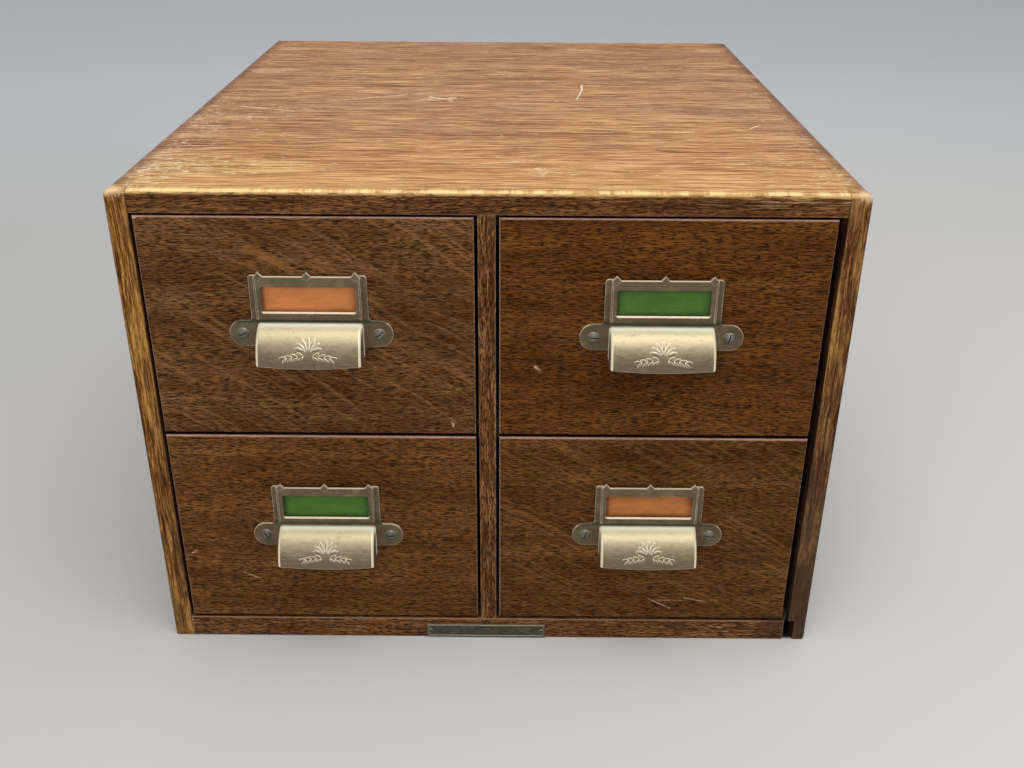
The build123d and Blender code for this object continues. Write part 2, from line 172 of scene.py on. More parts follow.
# %% A small language for materials: recipes
class Recipe:
    """A material in the making."""

    def __init__(self, name):
        self.material = bpy.data.materials.new(name)
        self.material.use_nodes = True
        self.nodes = self.material.node_tree.nodes
        self.links = self.material.node_tree.links
        self.shader = self.nodes["Principled BSDF"]
        self.colour = None

    def plug(self, socket, value):
        if isinstance(value, Wire):
            self.links.new(value.socket, socket)
        elif hasattr(value, "__len__") and len(value) == 3 and len(socket.default_value) == 4:
            socket.default_value = (*value, 1)
        else:
            socket.default_value = value

    def add(self, kind, settings, sockets, out=0):
        node = self.nodes.new(kind)
        for name, value in settings.items():
            setattr(node, name, value)
        for name, value in sockets.items():
            self.plug(node.inputs[name], value)
        return Wire(self, node.outputs[out])

    def sum(self, operation, *values):
        return self.add("ShaderNodeMath", {"operation": operation}, dict(enumerate(values)))

    def mix(self, factor, low, high):
        return self.add("ShaderNodeMix", {"data_type": "RGBA"}, {0: factor, 6: low, 7: high}, 2)

    def paint(self, mask, colour):
        """Lay a colour over the one so far, where the mask is not 0."""
        self.colour = self.mix(mask, self.colour, colour)

    def ramp(self, factor, stops):
        """The colour that stands at a value, from a list of (value, colour)."""
        wire = self.add("ShaderNodeValToRGB", {}, {0: factor})
        elements = wire.socket.node.color_ramp.elements
        while len(elements) < len(stops):
            elements.new(0.5)
        for element, (place, colour) in zip(elements, stops):
            element.position = place
            element.color = (*colour, 1)
        return wire

    def vector(self, operation, first, second, out=0):
        return self.add("ShaderNodeVectorMath", {"operation": operation}, {0: first, 1: second}, out)

    def scale(self, first, factor):
        return self.add("ShaderNodeVectorMath", {"operation": "SCALE"}, {0: first, "Scale": factor})

    def noise(self, where, detail=2.0, rough=0.5):
        sockets = {"Vector": where, "Scale": 1, "Detail": detail, "Roughness": rough}
        return self.add("ShaderNodeTexNoise", {}, sockets)

    def bump(self, strength, distance, height):
        return self.add("ShaderNodeBump", {}, {"Strength": strength, "Distance": distance, "Height": height})

    def finish(self, **sockets):
        for name, value in sockets.items():
            self.plug(self.shader.inputs[name.replace("_", " ")], value)
        return self.material


print("recipes ready")

# %% [markdown]
# On a real board the grain runs through the wood: long on the faces, and dots on the sawn
# ends. A picture laid on with a UV map would show the same grain on every face, and the
# CAD meshes have no UV map. So every texture is a solid one, laid out in millimetres in
# the frame of the cabinet and stretched along the fibres: a pore that is 5 mm long in the
# oak is written as 5. Worn edges are found by the shader, so no edge has to be marked.

# %% Places on a board
AXES = {"X": (0, 2, 1), "Y": (1, 0, 2), "Z": (2, 0, 1)}
BEVEL_SAMPLES = 6


def place_mm(recipe):
    """Where a point lies on the cabinet, in millimetres."""
    return recipe.scale(recipe.add("ShaderNodeTexCoord", {}, {}, "Object"), 1000)


def split(recipe, where):
    """The x, y and z of a place."""
    first = recipe.add("ShaderNodeSeparateXYZ", {}, {0: where})
    node = first.socket.node
    return [Wire(recipe, node.outputs[i]) for i in range(3)]


def join(recipe, x, y, z):
    return recipe.add("ShaderNodeCombineXYZ", {}, {0: x, 1: y, 2: z})


def facing(recipe):
    """The x, y and z of the surface's direction, as the board has it."""
    return split(recipe, recipe.add("ShaderNodeTexCoord", {}, {}, "Normal"))


def rounded_edge_mask(recipe, radius_mm, upward=False):
    """0 on the flats and more on an edge, by how far a rounded normal leaves the true one.

    With upward, an edge that faces down counts for little, so the mask favours edges lit from above, for a
    painted highlight."""
    soft = recipe.add("ShaderNodeBevel", {"samples": BEVEL_SAMPLES}, {"Radius": radius_mm * MM})
    true = recipe.add("ShaderNodeNewGeometry", {}, {}, "Normal")
    worn = 1 - recipe.vector("DOT_PRODUCT", soft, true, "Value")
    if upward:
        worn = worn * (0.08 + split(recipe, soft)[2].step(-0.05, 0.45) * 0.92)
    return worn


def mark(recipe, start, end, width):
    """A straight dent or scratch between two places, 1 along its middle."""
    start, end = Vector(start), Vector(end)
    run = end - start
    reach = recipe.vector("SUBTRACT", recipe.here, tuple(start))
    share = recipe.vector("DOT_PRODUCT", reach, tuple(run), "Value") / run.length_squared
    on = recipe.scale(tuple(run), share.most(0).least(1))
    gap = recipe.vector("DISTANCE", reach, on, "Value")
    return 1 - gap.step(width * 0.3, width)


print("grain directions", list(AXES))

# %% [markdown]
# Where oak is sawn on the quarter, its rays cross the grain as pale slanting bands. They
# could be drawn one by one, but there are very many. Instead the board's axes are turned
# to the slope of the rays, and a noise stretched along them gives bands that sway and
# break. In all the recipes `r` is the recipe, `u` runs along the grain, `v` across the
# face and `w` through the board, and `p` and `q` are `u` and `v` turned to the rays.

# %% Rays of quartered oak
def rays(r, u, v, seed, angle, strength):
    """The figure of quartered oak: broad flames, and the pale bands that cross the grain."""
    lean = math.radians(angle)
    p = u * math.cos(lean) + v * math.sin(lean)
    q = v * math.cos(lean) - u * math.sin(lean)
    sway = (r.noise(join(r, p / 35, q / 40, seed), 2.0) - 0.5) * 9
    band = r.noise(join(r, p / 90, (q + sway) / 2.4, seed + 5), 1.0, 0.5).step(0.54, 0.66)
    broken = r.noise(join(r, p / 6, q / 1.6, seed + 7), 2.0, 0.6).step(0.25, 0.5)
    field = r.noise(join(r, u / 50, v / 40, seed + 9), 1.0).step(0.25, 0.6)
    flame = r.noise(join(r, p / 30, (q + sway) / 6, seed + 11), 2.0, 0.5).step(0.56, 0.72)
    return flame * strength, band * broken * (0.35 + field * 0.65) * strength


print("rays ready")

# %% [markdown]
# Oak is what makes this cabinet. Close up it is dark pores, short dashes along the grain,
# over a brown ground that drifts from red to amber. One noise through a colour ramp would
# give stripes without pores, so four noises of different lengths make the ground and two
# more make the pores. One recipe serves every board, and each gets its own seed, tones
# and figure, because no two boards come from the same place in the tree.

# %% Oak
WARM = (1.0, 0.66, 0.40, 1.0)
FLAME = (0.205, 0.088, 0.022)
RAW = (0.36, 0.21, 0.13)


def times(colour, factor):
    """A colour made darker or lighter."""
    return tuple(factor * k for k in colour)


def oak(name, along, seed, dark, mid, pale, ray=None, pore=0.9, streak=0.0,
        worn=RAW, wear=1.0, gloss=0.42):
    """Varnished oak. ray is (angle, strength) of the pale bands, worn is the colour under the varnish."""
    r = Recipe(name)
    r.shader.inputs["Specular IOR Level"].default_value = 0.16
    r.shader.inputs["Specular Tint"].default_value = WARM
    r.here = place_mm(r)
    r.xyz = split(r, r.here)
    a, b, c = AXES[along]
    u, v, w = r.xyz[a] + seed * 137.0, r.xyz[b] + seed * 61.0, r.xyz[c] + seed * 29.0
    drift = (r.noise(join(r, u / 80, v / 40, seed), 1.0) - 0.5) * (7 + streak * 4)
    v, w = v + drift, w + drift
    rings = r.noise(join(r, u / 200, v / 13, w / 13), 3.0, 0.6)
    lines = r.noise(join(r, u / 36, v / 1.25, w / 1.25), 2.0, 0.6)
    fibre = r.noise(join(r, u / 9, v / 0.42, w / 0.42), 2.0, 0.6)
    patch = r.noise(join(r, u / 55, v / 26, w / 26), 2.0, 0.5)
    tone = rings * (0.36 - streak * 0.2) + lines * (0.30 + streak * 0.35)
    tone = tone + fibre * 0.16 + patch * (0.18 - streak * 0.15)
    spread = 0.12 - streak * 0.02
    r.colour = r.ramp(tone, [(0.5 - spread, dark), (0.5, mid), (0.5 + spread, pale)])
    dash = r.noise(join(r, u / 4.2, v / 0.42, w / 0.42), 1.0, 0.5)
    crowd = r.noise(join(r, u / 60, v / 3.0, w / 3.0), 1.0)
    pores = (dash + (crowd - 0.5) * 0.12).step(0.47, 0.58)
    height = fibre * 0.3 - pores
    if ray:
        flame, bands = rays(r, u, v, seed, *ray)
        r.paint(flame * 0.5, FLAME)
        r.paint(bands * 0.9, (1.25 * pale[0], 1.2 * pale[1], 1.3 * pale[2]))
        pores = pores * (1 - bands * 0.65)
        height = height + bands * 0.2
    deep = times(dark, 0.18)
    r.paint(pores * pore, deep)
    grime = r.noise(join(r, r.xyz[0] / 60 + seed, r.xyz[1] / 60, r.xyz[2] / 45), 3.0, 0.6)
    r.paint(grime.step(0.45, 0.75) * 0.3, deep)
    r.rub = r.noise(join(r, u / 7, v / 2.0, w / 2.0), 4.0, 0.65)
    edge = (rounded_edge_mask(r, 1.8) * 5 + r.rub * 0.9 - 0.62).step(0.0, 0.45) * wear
    r.paint(edge * 0.8, worn)
    r.rough = gloss + pores * 0.2 + (grime - 0.5) * 0.25 + edge * 0.15
    r.height = height - edge * 0.4
    return r


print("oak ready")

# %% [markdown]
# Varnish sinks into oak's pores and leaves them slightly hollow. They are too fine to
# model, so a bump gives them. A CAD node arrives with a plain material of its own, which
# is cleared first, so that each node wears exactly one finish.

# %% Varnish, and giving a node its finish
def varnished(r):
    """The last step of every oak: the grain's relief and the shader."""
    return r.finish(Base_Color=r.colour, Roughness=r.rough, Normal=r.bump(0.6, 0.00020, r.height))


def dress(node, material):
    """Give a CAD node its finish."""
    thing = nodes[node]
    thing.data.materials.clear()
    thing.data.materials.append(material)


def count(material):
    """How many CAD nodes wear a finish."""
    return sum(thing.data.materials[:] == [material] for thing in nodes.values())


print("nodes to dress", len(nodes))

# %% [markdown]
# The four drawer fronts are cut from different boards. The upper left and lower right
# ones show the rays, falling from left to right; the other two are plain. Handling has
# worn the varnish off their rounded rims, and a few knocks have gone through to bare wood.
# The rims are also painted paler as a painted highlight, most of all along the tops, which
# face the light above, and a little more at the left ends. The faces of each front that lie
# back in the gap get painted shade. The knocks could be cut into the mesh, but they are too
# shallow to change the outline, so colour and bump carry them. Marks are given by x and z.

# %% Drawer fronts
Y0 = -HALF_DEPTH * 1000
BARE_RIM_AND_HIGHLIGHT, KNOCKED = (0.52, 0.32, 0.25), (0.48, 0.31, 0.20)
GAP_SHADE, GLOW = (0.020, 0.004, 0.004), (0.29, 0.115, 0.026)
fronts = {
    "ul": dict(seed=1.3, ray=(-34, 0.62), flare=((-126, 258), (-110, 249), 3.4),
               dark=(0.075, 0.027, 0.008), mid=(0.140, 0.056, 0.016), pale=(0.215, 0.104, 0.038)),
    "ur": dict(seed=2.6,
               dark=(0.070, 0.020, 0.003), mid=(0.134, 0.044, 0.007), pale=(0.195, 0.073, 0.015)),
    "ll": dict(seed=4.1,
               dark=(0.080, 0.028, 0.006), mid=(0.158, 0.060, 0.013), pale=(0.215, 0.096, 0.027)),
    "lr": dict(seed=5.7, ray=(-29, 0.55),
               dark=(0.070, 0.025, 0.005), mid=(0.127, 0.047, 0.009), pale=(0.195, 0.087, 0.024)),
}
nicks = {
    "ul": [((-21, 157), (-20, 152), 1.0), ((-185, 275), (-183.6, 275), 1.8)],
    "ur": [((26, 190), (28, 188), 1.4)],
    "ll": [((-180, 63), (-177, 65), 0.8), ((-150, 49), (-142, 45), 0.55)],
    "lr": [((98, 31), (112, 24), 0.55), ((104, 30), (121, 30), 0.4), ((120, 32), (134, 29), 0.45)],
}


def front_mark(r, begin, end, width):
    """A mark in the plane of the fronts, between two places given by x and z."""
    return mark(r, (begin[0], Y0, begin[1]), (end[0], Y0, end[1]), width)


def drawer_front(name, marks, flare=None, **figure):
    """The oak of one front: rubbed bare and painted highlight on its rim, painted shade in the gap, knocked
    here and there.
    """
    r = oak(name, "X", wear=0.0, **figure)
    nx, ny, nz = facing(r)
    behind = r.xyz[1] - Y0
    rim = (1 - abs(ny)).step(0.02, 0.35) * (1 - behind.step(1.2, 1.8))
    # The rim is rubbed bare in places, and painted highlight makes it paler on edges that face up, and a
    # little on those facing left.
    rub_and_light = (r.rub * 1.6 - 0.35 + nz * 0.6 - nx * 0.15).most(0).least(1)
    r.paint(rim * rub_and_light * 0.85, BARE_RIM_AND_HIGHLIGHT)
    # Painted shade: the faces of the front that lie back in the gap are darkened.
    r.paint(behind.step(1.4, 2.2) * 0.8, GAP_SHADE)
    if flare:
        r.paint(front_mark(r, *flare) * (0.3 + r.rub * 0.8) * 0.55, GLOW)
    for nick in marks:
        cut = front_mark(r, *nick) * r.rub.step(0.38, 0.55)
        r.paint(cut * 0.8, KNOCKED)
        r.height = r.height - cut * 0.8
    return varnished(r)


for drawer, figure in fronts.items():
    dress(drawer + "_front", drawer_front("oak_front_" + drawer, nicks[drawer], **figure))
print("fronts", len(fronts), "knocks", sum(len(marks) for marks in nicks.values()))

# %% [markdown]
# The divider stands on end between the two columns, so its front edge shows upright
# streaks. The rail lies under the drawers. It is darker at its right end, beside the open
# groove, and rubbed through in dashes just before it. One oak for both would make them
# look like one board where they meet, so each has its own seed and direction.

# %% Divider and rail
CASE = dict(dark=(0.080, 0.026, 0.008), mid=(0.172, 0.068, 0.022), pale=(0.300, 0.145, 0.052))
DIVIDER = dict(CASE, mid=(0.145, 0.055, 0.018), streak=0.9, wear=0.3)
RUBBED_X, RAIL_MIDDLE, RAIL_DARK_FROM_X = 150, 8, 160
RUBBED_RAIL, RAIL_END_DARK = (0.55, 0.38, 0.22), (0.030, 0.010, 0.008)


def rail():
    r = oak("oak_rail", "X", seed=11.8, streak=0.6, wear=1.3, **CASE)
    x, _, z = r.xyz
    worn_run = (1 - abs(x - RUBBED_X).step(8, 45)) * (1 - abs(z - RAIL_MIDDLE).step(2, 6))
    dashes = r.noise(join(r, x / 10, z / 0.8, 3.0), 2.0, 0.6).step(0.57, 0.66) * worn_run
    r.paint(dashes * 0.8, RUBBED_RAIL)
    # The rail is painted darker towards its right end.
    r.paint((x - RAIL_DARK_FROM_X).step(0, 18) * 0.6, RAIL_END_DARK)
    return varnished(r)


dress("centre_divider", varnished(oak("oak_divider", "Z", seed=10.4, **DIVIDER)))
dress("bottom_rail", rail())
print("divider and rail dressed")

# %% [markdown]
# The top has had long years of light and elbows: it is bleached to honey, rubbed to gold
# along the front, scratched, and scuffed at both ends. Random wear alone would look the
# same everywhere, so the largest scratches and scuffs are listed one by one, by x and by
# how far they lie behind the front edge, and noise breaks up their outlines.

# %% Marks on the top
FINGERS = 23
SPACING = -2 * Y0 / FINGERS
JOINT = round(side_low.x / MM, 1)
HEIGHT = round(side_high.z / MM, 1)
HONEY = [(0.41, (0.210, 0.074, 0.022)), (0.5, (0.465, 0.218, 0.086)), (0.58, (0.730, 0.415, 0.195))]
DASH, UMBER, CRACK = (0.20, 0.080, 0.032), (0.28, 0.150, 0.100), (0.10, 0.045, 0.030)
OLD_GOLD, NEW_GOLD = (0.44, 0.21, 0.055), (0.78, 0.48, 0.17)
FLAKE_RIM, FLAKE_BED = (0.76, 0.50, 0.33), (0.55, 0.26, 0.16)
CREAM, SCRATCH, ARRIS_WEAR_AND_HIGHLIGHT = (0.90, 0.73, 0.49), (0.95, 0.80, 0.58), (0.93, 0.67, 0.31)
SAWN, SEAM, BURNT = (0.17, 0.070, 0.032), (0.07, 0.028, 0.012), (0.13, 0.050, 0.030)
SCRATCHES = [
    ((62, 268), (61, 250), 1.1, 1.0),
    ((61, 250), (56, 218), 0.7, 0.9),
    ((-115, 209), (-43, 239), 0.8, 0.8),
    ((-52, 216), (-28, 222), 1.2, 0.9),
    ((-46, 226), (-30, 212), 1.0, 0.9),
    ((-170, 192), (-132, 178), 0.8, 0.8),
    ((161, 139), (168, 147), 0.9, 0.9),
    ((112, 128), (124, 129), 0.9, 0.8),
    ((-10, 52), (24, 61), 0.7, 0.7),
]
SCUFFED = [
    (-38, 219, 19, 9, 0.13), (-150, 160, 26, 13, 0.08), (-135, 188, 30, 12, 0.08),
    (-142, 46, 50, 22, 0.075), (150, 60, 28, 12, 0.07), (30, 38, 26, 12, 0.07),
    (-105, 290, 30, 9, 0.08), (125, 330, 30, 12, 0.08), (10, 300, 60, 7, 0.08),
]


def spot(r, across, back, half_width, half_depth):
    """An oval area of the top, 1 in its middle and 0 at its edge."""
    x, y, _ = r.xyz
    return 1 - (((x - across) / half_width) ** 2 + ((y - (Y0 + back)) / half_depth) ** 2).step(0.2, 1.2)


def scuffs(r, near, bare):
    """Cream flecks where the finish is gone: along the grain, and some across it at the ends."""
    x, y, _ = r.xyz
    ends = (abs(x) - 145).step(0, 50) * (1 - (y - Y0).step(170, 300)) * (0.095 - x / 7000)
    areas = ends + near * 0.03
    for *oval, strength in SCUFFED:
        areas = areas + spot(r, *oval) * strength
    slant = r.noise(join(r, (x + y * 0.5) / 11, (y - x * 0.10) / 1.5, 14.0), 2.0, 0.6)
    return (bare + areas).step(0.68, 0.72).most((slant + areas * 0.4).step(0.70, 0.73))


print("height", HEIGHT, "joint at x", JOINT, "scratches", len(SCRATCHES), "scuffed areas", len(SCUFFED))

# %% [markdown]
# The fingers of the side boards come up through the top and share its finish, a shade
# darker because they show end grain. Separate materials would have to meet along every
# finger, so one `topside` finish is laid over the three boards by which way they face, and
# the hairlines between the fingers are drawn from the spacing of the joint.

# %% Finish of the top
def topside(r, end_grain):
    """The honey finish of everything that faces up, as a colour of its own."""
    x, y, _ = r.xyz
    behind = y - Y0
    wave = y + (r.noise(join(r, x / 55, y / 24, 8.0), 2.0) - 0.5) * 9
    rings = r.noise(join(r, x / 210, wave / 17, 3.3), 3.0, 0.6)
    lines = r.noise(join(r, x / 48, wave / 1.9, 1.1), 2.0, 0.6)
    fine = r.noise(join(r, x / 16, wave / 1.1, 4.4), 2.0, 0.6)
    colour = r.ramp(rings * 0.18 + lines * 0.46 + fine * 0.36, HONEY)
    dash = r.noise(join(r, x / 19, wave / 1.5, 5.5), 1.0, 0.5).step(0.55, 0.62)
    colour = r.mix(dash * 0.55, colour, DASH)
    near = 1 - behind.step(6, 85)
    spill = r.noise(join(r, x / 45, y / 12, 2.2), 3.0, 0.6)
    gold = near * (spill * 1.7 - 0.15) + spot(r, -140, 42, 55, 20) * lines.step(0.42, 0.58) * 0.9
    colour = r.mix(gold.least(1).most(0) * 0.7, colour, r.mix(lines.step(0.4, 0.6), OLD_GOLD, NEW_GOLD))
    shade = r.noise(join(r, x / 110, y / 60, 6.0), 2.0).step(0.42, 0.66) * behind.step(70, 150)
    colour = r.mix(shade * 0.22, colour, UMBER)
    flake = spot(r, -177, 314, 17, 10) + (lines - 0.5) * 1.6
    colour = r.mix(flake.step(0.3, 0.8) * 0.55, colour, FLAKE_RIM)
    colour = r.mix(flake.step(0.6, 0.9) * 0.7, colour, FLAKE_BED)
    bare = r.noise(join(r, x / 8, wave / 1.5, 9.1), 3.0, 0.7)
    colour = r.mix(scuffs(r, near, bare) * 0.9, colour, CREAM)
    crack = 1 - abs(y - (Y0 + 285) - (spill - 0.5) * 3).step(0.2, 1.1)
    colour = r.mix(crack * (0.5 + (x + 60).step(-60, 80) * 0.5) * 0.65, colour, CRACK)
    for (x0, back0), (x1, back1), width, strength in SCRATCHES:
        cut = mark(r, (x0, Y0 + back0, HEIGHT), (x1, Y0 + back1, HEIGHT), width)
        colour = r.mix(cut * strength * bare.step(0.33, 0.5), colour, SCRATCH)
    if end_grain:
        dots = r.noise(join(r, x / 0.9, y / 0.9, 1.0), 2.0, 0.6).step(0.45, 0.65)
        colour = r.mix(0.12 + dots * 0.35, colour, SAWN)
    across = abs((behind / SPACING).sum("FRACT") - 0.5) * SPACING
    seam = (abs(x) - JOINT).step(-0.1, 0.1) * across.step(SPACING / 2 - 0.5, SPACING / 2 - 0.1)
    colour = r.mix(seam * 0.5, colour, SEAM)
    burnt = (abs(x) - 188).step(0, 6) * (0.4 + spill.step(0.35, 0.6) * 0.6) * behind.step(2, 14)
    colour = r.mix(burnt * 0.65, colour, BURNT)
    # The front arris of the top is worn pale, and the bright band along it is partly painted highlight on
    # the rounded edge.
    nibbled = r.noise(join(r, x / 13, 0.3, 6.6), 4.0, 0.75)
    arris = 1 - behind.step(nibbled * 3.0 - 0.3, nibbled * 11.0)
    return r.mix(arris * (0.2 + nibbled.step(0.40, 0.55) * 0.8) * 0.9, colour, ARRIS_WEAR_AND_HIGHLIGHT)


print("finish of the top ready, fingers", round(SPACING, 2), "mm apart")

# %% [markdown]
# The sides stand on end, so their front edges are streaked upright, amber against near
# black. At the front corners the varnish and the stain are both gone and the wood is
# cream. The top's lip is worn and also bright with painted highlight, the open groove at
# the right is filled with painted shade, the right board is darker near the floor, and
# both boards are blotched there. Each could be a painted mask of its own. They are short
# functions that paint over the same recipe, so that a board takes only the ones it needs.

# %% Streaks, wear, painted highlight and painted shade of the case boards
AMBER_STREAK, BLACK_STREAK = (0.66, 0.36, 0.10), (0.040, 0.012, 0.004)
FRAYED, LIP_WEAR_AND_HIGHLIGHT, CORNER = (0.56, 0.36, 0.16), (0.78, 0.52, 0.22), (0.72, 0.49, 0.28)
GROOVE, GROOVE_SHADE = (0.03, 0.010, 0.005), (0.008, 0.004, 0.003)
LOW_RIGHT_DARK, DAMP = (0.042, 0.026, 0.019), (0.050, 0.028, 0.014)
CORNER_X = 196
HOUSING_DEPTH, HOUSING_TOP = 4.1, 14.2


def end_streaks(r, seed, up, mid):
    """The upright streaks of a board that stands on end."""
    x, y, z = r.xyz
    front = 0.35 + abs(facing(r)[1]) * 0.65
    blaze = r.noise(join(r, x / 7 + seed, y / 7, z / 48), 2.0, 0.5).step(0.46, 0.68) * (1 - up) * front
    r.paint(blaze * 0.5, r.mix(r.rub.step(0.3, 0.6), mid, AMBER_STREAK))
    black = r.noise(join(r, x / 1.3 + seed, y / 1.3, z / 34), 2.0, 0.6).step(0.53, 0.61) * (1 - up) * front
    r.paint(black * 0.75, BLACK_STREAK)


def frayed_edge(r, up):
    """Torn fibres along the right end of the top's front edge."""
    x, _, z = r.xyz
    torn = r.noise(join(r, x / 17, z / 0.9, 9.9), 2.0, 0.6).step(0.52, 0.62)
    r.paint(torn * (x - 95).step(0, 60) * (z - HEIGHT).step(-11, -4) * (1 - up) * 0.7, FRAYED)


def case_wear(r, seed, up, groove):
    """Lip worn and painted with highlight, worn corners, painted shade in the open groove at the right,
    darker near the floor.
    """
    x, y, z = r.xyz
    # The lip is worn, and painted highlight brightens the rounded edge under the top.
    lip = (z - HEIGHT).step(-2.8, -1.0) * (1 - up) * (1 - (y - Y0).step(1, 3))
    r.paint(lip * (0.25 + r.rub.step(0.35, 0.55) * 0.75) * 0.75, LIP_WEAR_AND_HIGHLIGHT)
    corner = ((abs(x) - CORNER_X) ** 2 + (y - Y0) ** 2 + ((z - HEIGHT) * 1.6) ** 2) ** 0.5
    r.paint((1 - (corner + (r.rub - 0.5) * 22).step(3, 9)) * (1 - groove) * 0.8, CORNER)
    # Painted shade: the faces inside the open groove at the right are made near black.
    groove_shade_mask = (JOINT + HOUSING_DEPTH - x).step(0, 0.3) * (x - 100).step(0, 1)
    r.paint(groove_shade_mask * (1 - z.step(HOUSING_TOP, HOUSING_TOP + 0.6)) * 0.95, GROOVE_SHADE)
    # The right board is painted darker towards the floor.
    r.paint(x.step(180, 186) * (1 - (z + (r.rub - 0.5) * 60).step(30, 210)) * 0.75, LOW_RIGHT_DARK)
    damp = r.noise(join(r, x / 9 + seed, y / 9, z / 19), 2.0, 0.5).step(0.44, 0.58) * (1 - z.step(60, 130))
    r.paint(damp * 0.6, DAMP)


print("corners at x", CORNER_X, "mm, open groove up to z", HOUSING_TOP, "mm")

# %% [markdown]
# Now the three boards are put together: oak first, then the honey finish on what faces
# up, the line of the joint, and the wear. Three functions would repeat most of this, so
# one makes them all, and the switch `end_grain` tells the sides from the top, which is
# long grain and frays along its front edge.

# %% Top and sides
def capped_board(name, along, seed, end_grain, **figure):
    """An oak board of the case whose upward faces carry the topside finish."""
    r = oak(name, along, seed, **figure)
    x, y, _ = r.xyz
    up = facing(r)[2].step(0.35, 0.6)
    r.paint(up, topside(r, end_grain))
    joined = 1 - up * (0.6 if end_grain else (y - Y0).step(3, 9))
    groove = (1 - abs(abs(x) - JOINT).step(0.2, 0.75)) * joined
    r.paint(groove * 0.8, GROOVE)
    if end_grain:
        end_streaks(r, seed, up, figure["mid"])
    else:
        frayed_edge(r, up)
    case_wear(r, seed, up, groove)
    return varnished(r)


SIDE = dict(streak=1.0, pore=0.55, wear=0.5, worn=(0.50, 0.31, 0.17))
LEFT = dict(SIDE, dark=(0.050, 0.014, 0.003), mid=(0.230, 0.090, 0.019), pale=(0.45, 0.215, 0.058))
RIGHT = dict(SIDE, dark=(0.045, 0.014, 0.005), mid=(0.165, 0.063, 0.019), pale=(0.33, 0.150, 0.055))
dress("top_panel", capped_board("oak_top", "X", 15.5, False, streak=0.4, wear=0.2, **CASE))
dress("left_side", capped_board("oak_left_side", "Z", 7.2, True, **LEFT))
dress("right_side", capped_board("oak_right_side", "Z", 8.9, True, **RIGHT))
print("top and sides dressed")

# %% [markdown]
# Inside, nobody spent oak: the runners, the base and the bodies of the drawers are a
# plain pale wood, only planed. The oak recipe serves, with softer tones and small pores.
# Two materials are enough, one for each direction of the grain, because these boards are
# seen only from behind or when a drawer is out.

# %% Inner wood
PLAIN = dict(dark=(0.24, 0.14, 0.07), mid=(0.36, 0.23, 0.12), pale=(0.46, 0.31, 0.18), pore=0.45,
             worn=(0.50, 0.36, 0.22), gloss=0.6)
CROSSWISE = ("bottom_panel", "back_panel", "drawer_stops")
along_y = varnished(oak("inner_wood_long", "Y", seed=21.0, **PLAIN))
along_x = varnished(oak("inner_wood_cross", "X", seed=23.0, **PLAIN))
for name in nodes:
    if name.startswith(("runner", "kicker")) or "_side_" in name:
        dress(name, along_y)
    elif name in CROSSWISE or name.endswith(("_back", "_bottom", "_follower")):
        dress(name, along_x)
print("inner wood", count(along_y), "nodes along the depth and", count(along_x), "across")

# %% [markdown]
# The metal was bronzed once. Its flats have kept a brown, slightly green skin, and every
# edge is bright: worn through the skin, and on edges that face up also a painted highlight.
# A plain metallic shader would mirror the pale floor and look new, so the metal here is
# mostly a painted surface with some metallic shine, and its stains and bright edges come
# from masks. This start is shared by every metal piece.

# %% Any metal
METAL_RELIEF = 0.00006


def metal(name, seed, skin, rubbed, bright, wear=1.0):
    """The start of any metal here: its skin, stains, and edges worn bright and painted with highlight where
    they face up.
    """
    r = Recipe(name)
    r.shader.inputs["Specular IOR Level"].default_value = 0.4
    r.xyz = split(r, place_mm(r))
    x, y, z = r.xyz
    r.cloud = r.noise(join(r, x / 8 + seed, y / 8, z / 8), 4.0, 0.6)
    r.speck = r.noise(join(r, x / 0.9 + seed, y / 0.9, z / 0.9), 3.0, 0.7)
    # The edge mask counts upward edges most, so the bright edges are worn metal and painted highlight
    # together.
    r.edge = (rounded_edge_mask(r, 0.7, True) * 15 * wear + r.cloud * 0.7 - 0.42).step(0.0, 0.5)
    r.colour = r.mix(r.cloud.step(0.35, 0.7) * 0.45, skin, rubbed)
    r.paint(r.speck.step(0.52, 0.75) * 0.4, times(skin, 0.5))
    r.paint(r.edge * 0.85, bright)
    return r


print("metal ready")

# %% [markdown]
# The hoods are rubbed almost to pale brass by years of fingers, and their crown, root and
# rounded ends get painted highlight as well. A hood and its plate are stamped from one
# sheet, so the pull is one mesh with one material. The hood could be picked out face by
# face, but a mask does it without touching the mesh: a point is on the hood if it stands
# out from the wood and lies low enough on the pull.

# %% Old bronze of the pulls
ROW_SPLIT, UPPER_LINE, LOWER_LINE = 145.0, 209.1, 78.9
PULL = dict(skin=(0.085, 0.058, 0.028), rubbed=(0.175, 0.130, 0.070), bright=(0.95, 0.80, 0.60))
HOOD_SHADE, HOOD_LIT_CROWN, HOOD_STAIN = (0.175, 0.130, 0.082), (0.64, 0.54, 0.33), (0.135, 0.105, 0.062)
HOOD_SCRATCH, HOOD_ROOT_HIGHLIGHT, HOOD_END_HIGHLIGHT = (0.85, 0.78, 0.60), (1.0, 1.0, 0.78), (1.0, 0.91, 0.66)
HOOD_EDGE, UPWARD_HIGHLIGHT, POCKET_SHADE = (0.88, 0.80, 0.62), (0.93, 0.77, 0.56), (0.022, 0.020, 0.010)
FRAME_UPPER_DIM, FRAME_UPPER_PALE = (0.16, 0.125, 0.075), (0.25, 0.205, 0.130)


